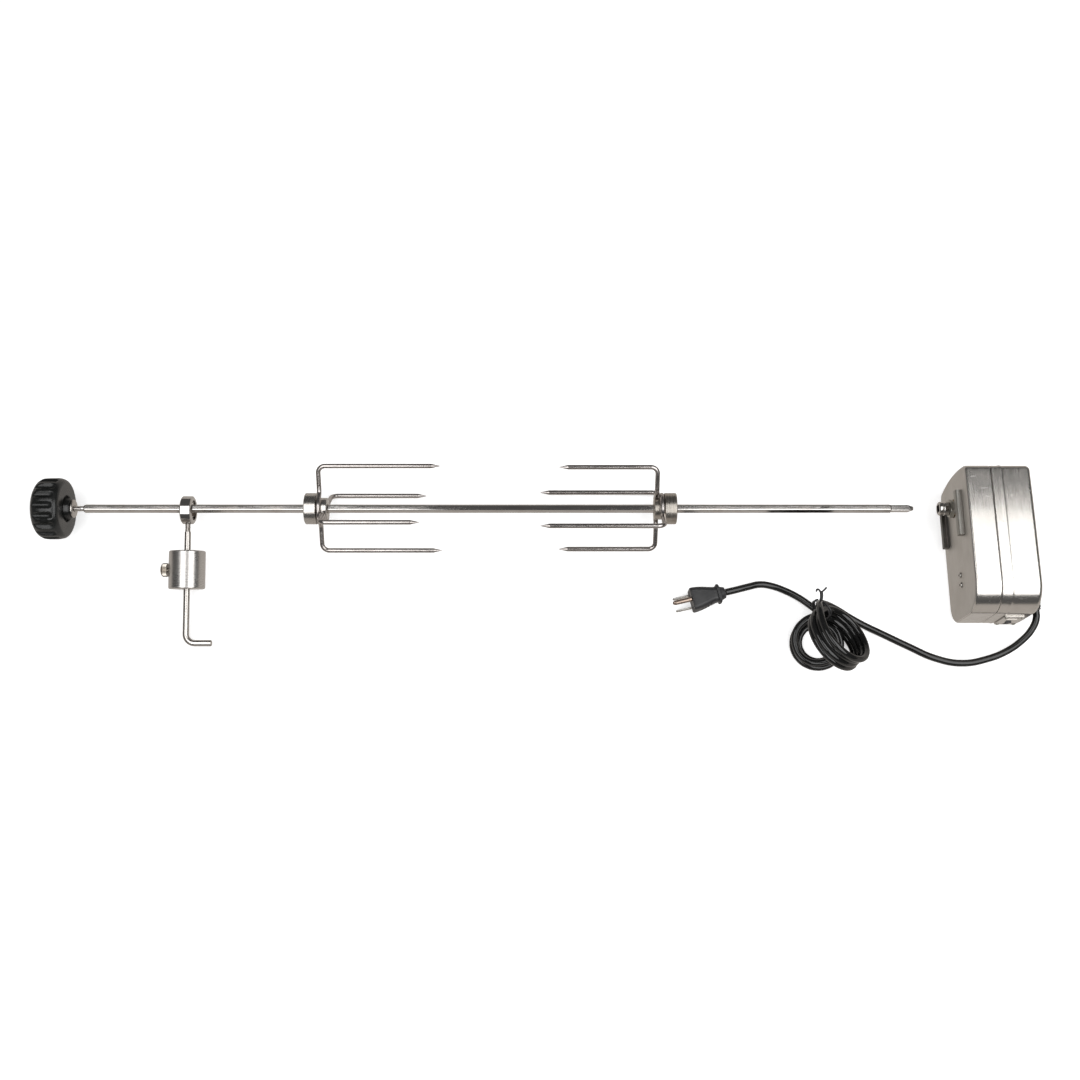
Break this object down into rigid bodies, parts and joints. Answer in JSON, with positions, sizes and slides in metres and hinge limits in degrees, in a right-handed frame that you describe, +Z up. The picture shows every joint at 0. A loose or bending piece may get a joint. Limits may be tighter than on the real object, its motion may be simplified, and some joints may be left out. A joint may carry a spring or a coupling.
{
  "type": "rotisserie spit roaster",
  "caption": "Grill rotisserie kit: hexagonal spit rod with sliding forks, fluted handle and swinging counterweight, and a boxed gear motor with a corded plug.",
  "frame": {"origin": "on the table, under the middle of the kit's footprint without its mains lead", "axes": "+X along the spit from the handle to the motor, +Z up from the table the kit lies on, +Y away from the motor's switch end"},
  "size_m": [1.0095, 0.2036, 0.084],
  "materials": {
    "chrome": "polished plating",
    "plated_steel": "turned and plated, satin",
    "brushed_stainless": "brushed sheet",
    "zinc_steel": "zinc plated",
    "dark_iron": "dark lacquered iron",
    "brass": "machined",
    "copper": "enamelled wire",
    "nylon": "moulded",
    "knob_plastic": "moulded, satin",
    "black_plastic": "moulded",
    "cord_rubber": "soft vinyl, slightly glossy"
  },
  "bodies": {
    "housing": {"front_shell": "brushed_stainless", "rear_shell": "brushed_stainless", "bracket_rail_upper": "brushed_stainless", "bracket_rail_lower": "brushed_stainless", "chassis_screw_1": "zinc_steel", "chassis_screw_2": "zinc_steel", "shell_screw_1": "zinc_steel", "shell_screw_2": "zinc_steel", "shell_standoff_1": "zinc_steel", "shell_standoff_2": "zinc_steel", "socket_nut": "zinc_steel", "output_bushing": "brass", "gear_plate_front": "zinc_steel", "gear_plate_rear": "zinc_steel", "gear_post_1": "zinc_steel", "gear_post_2": "zinc_steel", "gear_post_3": "zinc_steel", "gear_post_4": "zinc_steel", "idler_pin": "zinc_steel", "stator_core": "dark_iron", "stator_coil": "copper", "motor_bracket": "zinc_steel", "stator_screw_1": "zinc_steel", "stator_screw_2": "zinc_steel", "switch_plate": "brushed_stainless", "switch_body": "black_plastic", "strain_relief": "cord_rubber", "cord_motor_run": "cord_rubber", "cord_plug_run": "cord_rubber", "cord_coil": "cord_rubber", "cord_tie": "black_plastic", "plug_body": "cord_rubber", "plug_blade_1": "plated_steel", "plug_blade_2": "plated_steel", "plug_ground_pin": "brass"},
    "drive": {"output_socket": "chrome", "output_gear": "nylon"},
    "idler": {"idler_gear": "nylon"},
    "rotor": {"rotor": "dark_iron", "motor_pinion": "brass"},
    "spit": {"spit_rod": "chrome"},
    "knob": {"handle_knob": "knob_plastic", "knob_insert": "brass"},
    "left_fork": {"left_fork_hub": "plated_steel", "left_long_tines": "chrome", "left_short_tines": "chrome"},
    "left_screw": {"left_fork_screw": "plated_steel"},
    "right_fork": {"right_fork_hub": "plated_steel", "right_long_tines": "chrome", "right_short_tines": "chrome"},
    "right_screw": {"right_fork_screw": "plated_steel"},
    "balance_ring": {"balance_ring": "chrome"},
    "balance_arm": {"balance_rod": "plated_steel"},
    "balance_weight": {"balance_weight": "plated_steel"},
    "weight_screw": {"weight_thumbscrew": "plated_steel"},
    "rocker": {"switch_rocker": "black_plastic"}
  },
  "joints": [
    {"name": "drive_spin", "type": "hinge", "parent": "housing", "child": "drive", "pos_m": [0.4323, 0.04769, 0.039], "axis": [1, 0, 0], "continuous": true},
    {"name": "idler_spin", "type": "hinge", "parent": "housing", "child": "idler", "pos_m": [0.4473, 0.01769, 0.039], "axis": [1, 0, 0], "continuous": true},
    {"name": "rotor_spin", "type": "hinge", "parent": "housing", "child": "rotor", "pos_m": [0.4673, -0.00631, 0.039], "axis": [1, 0, 0], "continuous": true},
    {"name": "spit_insert", "type": "slide", "parent": "drive", "child": "spit", "axis": [1, 0, 0], "range_m": [0, 0.046]},
    {"name": "knob_unscrew", "type": "hinge", "parent": "spit", "child": "knob", "pos_m": [-0.4677, 0.04769, 0.039], "axis": [-1, 0, 0], "range_deg": [0, 360]},
    {"name": "left_fork_slide", "type": "slide", "parent": "spit", "child": "left_fork", "axis": [1, 0, 0], "range_m": [-0.095, 0.045]},
    {"name": "left_screw_turn", "type": "hinge", "parent": "left_fork", "child": "left_screw", "pos_m": [-0.2177, 0.04769, 0.015], "axis": [0, 0, -1], "range_deg": [0, 360]},
    {"name": "right_fork_slide", "type": "slide", "parent": "spit", "child": "right_fork", "axis": [1, 0, 0], "range_m": [-0.045, 0.2]},
    {"name": "right_screw_turn", "type": "hinge", "parent": "right_fork", "child": "right_screw", "pos_m": [0.1433, 0.04769, 0.015], "axis": [0, 0, -1], "range_deg": [0, 360]},
    {"name": "balance_swing", "type": "hinge", "parent": "spit", "child": "balance_ring", "pos_m": [-0.3432, 0.04769, 0.039], "axis": [1, 0, 0], "continuous": true},
    {"name": "balance_arm_turn", "type": "hinge", "parent": "balance_ring", "child": "balance_arm", "pos_m": [-0.3432, 0.04769, 0.0339], "axis": [0, -0.979, -0.2036], "range_deg": [-180, 180]},
    {"name": "weight_slide", "type": "slide", "parent": "balance_arm", "child": "balance_weight", "axis": [0, -0.979, -0.2036], "range_m": [-0.02, 0.045]},
    {"name": "weight_screw_turn", "type": "hinge", "parent": "balance_weight", "child": "weight_screw", "pos_m": [-0.3657, -0.01154, 0.02158], "axis": [-1, 0, 0], "range_deg": [0, 360]},
    {"name": "switch_rock", "type": "hinge", "parent": "housing", "child": "rocker", "pos_m": [0.4763, -0.06591, 0.0235], "axis": [-1, 0, 0], "range_deg": [0, 14]}
  ],
  "couplings": [
    {"joint": "idler_spin", "follows": "drive_spin", "ratio": -4},
    {"joint": "rotor_spin", "follows": "drive_spin", "ratio": 12}
  ]
}
